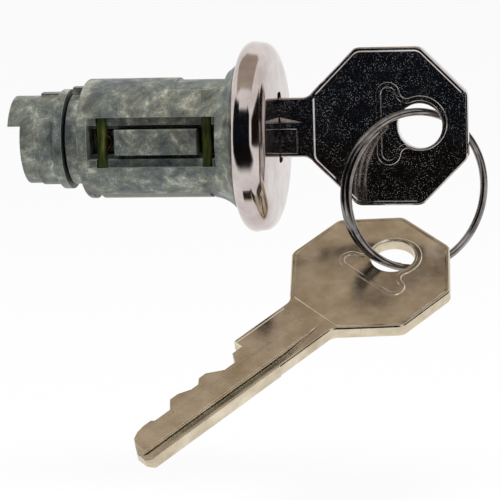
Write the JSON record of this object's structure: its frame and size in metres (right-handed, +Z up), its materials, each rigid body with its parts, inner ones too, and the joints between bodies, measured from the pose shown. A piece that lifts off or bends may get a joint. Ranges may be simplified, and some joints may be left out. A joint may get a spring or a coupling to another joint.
{
  "type": "ignition lock cylinder",
  "caption": "Dashboard ignition lock cylinder with a sidebar and plate tumblers, its key in place, and a spare key on a split ring.",
  "frame": {"origin": "on the lock's axis, at the middle of the barrel stretch that bears in the switch housing", "axes": "+X along the axis out of the face, towards the key; +Z up as the key stands, with its uncut edge up; the sidebar faces -Y"},
  "size_m": [0.0798, 0.058, 0.0646],
  "materials": {
    "zinc_casting": "die cast, dulled",
    "chrome_plate": "polished",
    "steel_strip": "stamped",
    "dichromate_zinc": "olive dichromate over zinc plate",
    "brass": "stamped",
    "phosphor_bronze": "drawn wire",
    "nickel_plate": "mirror nickel plate",
    "nickel_silver": "worn nickel silver",
    "spring_steel": "polished wire"
  },
  "bodies": {
    "lock": {"cylinder_body": "zinc_casting", "face_cap": "chrome_plate", "drive_tail": "zinc_casting", "spring_retainer": "steel_strip", "sidebar_pin_rear": "dichromate_zinc", "sidebar_pin_front": "dichromate_zinc", "sidebar_spring_rear": "phosphor_bronze", "sidebar_spring_front": "phosphor_bronze", "tumbler_spring_1": "phosphor_bronze", "tumbler_spring_2": "phosphor_bronze", "tumbler_spring_3": "phosphor_bronze", "tumbler_spring_4": "phosphor_bronze", "tumbler_spring_5": "phosphor_bronze", "tumbler_spring_6": "phosphor_bronze"},
    "ignition_key": {"ignition_key": "nickel_plate"},
    "key_ring": {"key_ring": "spring_steel"},
    "spare_key": {"spare_key": "nickel_silver"},
    "sidebar": {"sidebar": "zinc_casting"},
    "tumbler_1": {"tumbler_1": "brass"},
    "tumbler_2": {"tumbler_2": "brass"},
    "tumbler_3": {"tumbler_3": "brass"},
    "tumbler_4": {"tumbler_4": "brass"},
    "tumbler_5": {"tumbler_5": "brass"},
    "tumbler_6": {"tumbler_6": "brass"}
  },
  "joints": [
    {"name": "key_pull", "type": "slide", "parent": "lock", "child": "ignition_key", "axis": [1, 0, 0], "range_m": [0, 0.036]},
    {"name": "tumbler_1_slide", "type": "slide", "parent": "lock", "child": "tumbler_1", "axis": [0, 0, 1], "range_m": [0, 0.00142], "deforming": ["tumbler_spring_1"]},
    {"name": "tumbler_2_slide", "type": "slide", "parent": "lock", "child": "tumbler_2", "axis": [0, 0, 1], "range_m": [0, 0.00142], "deforming": ["tumbler_spring_2"]},
    {"name": "tumbler_3_slide", "type": "slide", "parent": "lock", "child": "tumbler_3", "axis": [0, 0, 1], "range_m": [0, 0.000781], "deforming": ["tumbler_spring_3"]},
    {"name": "tumbler_4_slide", "type": "slide", "parent": "lock", "child": "tumbler_4", "axis": [0, 0, 1], "range_m": [0, 0.000781], "deforming": ["tumbler_spring_4"]},
    {"name": "tumbler_5_slide", "type": "slide", "parent": "lock", "child": "tumbler_5", "axis": [0, 0, 1], "range_m": [0, 0.000151], "deforming": ["tumbler_spring_5"]},
    {"name": "tumbler_6_slide", "type": "slide", "parent": "lock", "child": "tumbler_6", "axis": [0, 0, 1], "range_m": [0, 0.000151], "deforming": ["tumbler_spring_6"]},
    {"name": "sidebar_slide", "type": "slide", "parent": "lock", "child": "sidebar", "axis": [0, -1, 0], "range_m": [0, 0.00115], "deforming": ["sidebar_spring_rear", "sidebar_spring_front"]},
    {"name": "ring_swing", "type": "hinge", "parent": "ignition_key", "child": "key_ring", "pos_m": [0.0489, 0, 0.0015], "axis": [0, 1, 0], "range_deg": [-45, 8]},
    {"name": "spare_swing", "type": "hinge", "parent": "key_ring", "child": "spare_key", "pos_m": [0.04405, -0.00212, -0.02091], "axis": [-0.0351, 0.584, -0.811], "range_deg": [-45, 30]}
  ],
  "couplings": [
    {"joint": "tumbler_1_slide", "follows": "key_pull", "ratio": 0.039444},
    {"joint": "tumbler_2_slide", "follows": "key_pull", "ratio": 0.039444},
    {"joint": "tumbler_3_slide", "follows": "key_pull", "ratio": 0.021667},
    {"joint": "tumbler_4_slide", "follows": "key_pull", "ratio": 0.021667},
    {"joint": "tumbler_5_slide", "follows": "key_pull", "ratio": 0.0041667},
    {"joint": "tumbler_6_slide", "follows": "key_pull", "ratio": 0.0041667},
    {"joint": "sidebar_slide", "follows": "key_pull", "ratio": 0.031944}
  ]
}
